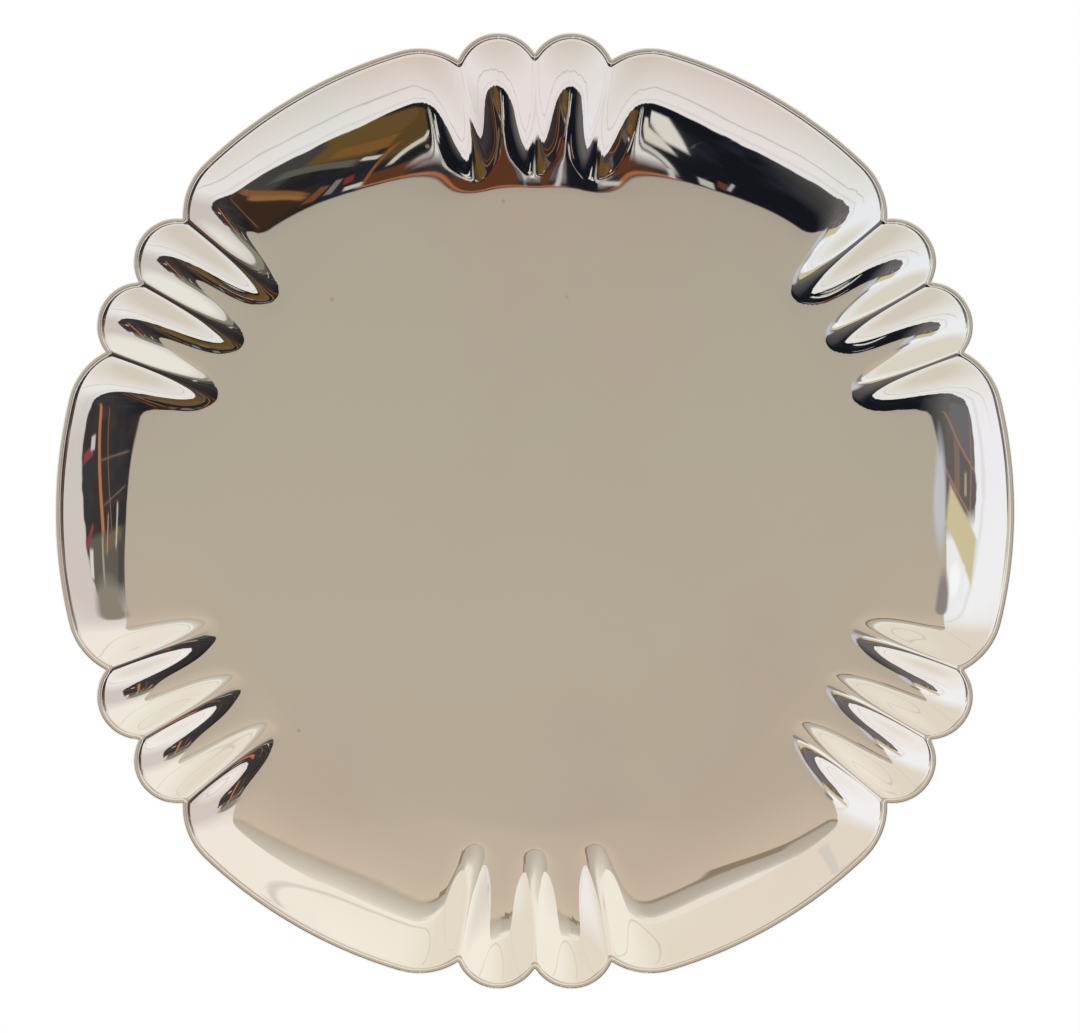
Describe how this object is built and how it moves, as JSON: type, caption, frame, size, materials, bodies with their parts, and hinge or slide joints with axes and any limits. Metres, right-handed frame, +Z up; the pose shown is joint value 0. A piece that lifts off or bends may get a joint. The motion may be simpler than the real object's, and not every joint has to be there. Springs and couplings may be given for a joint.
{
  "type": "dessert stand",
  "caption": "Low polished silver dessert stand: a round dish with a scalloped, fluted rim and an applied wire edge, raised on a spun spreading foot.",
  "frame": {"origin": "middle of the foot's underside, on the surface the stand rests on", "axes": "+Z up along the stand's axis, +X through the middle of one plain stretch of the rim, +Y through the middle of one flute group"},
  "size_m": [0.28, 0.279, 0.07],
  "materials": {
    "polished_silver": "mirror-polished silver with fine use scratches",
    "turned_silver": "polished silver with faint spinning lines",
    "steel": "plain machined steel",
    "brass": "turned brass, dull"
  },
  "bodies": {
    "root": {"dish": "polished_silver", "rim_wire": "polished_silver", "dish_boss": "brass", "stem_collar": "turned_silver", "stem": "turned_silver", "foot_shell": "turned_silver", "foot_wire": "turned_silver", "tie_stud": "steel", "clamp_plate": "brass", "spring_washer": "steel", "foot_nut": "steel"}
  },
  "joints": []
}
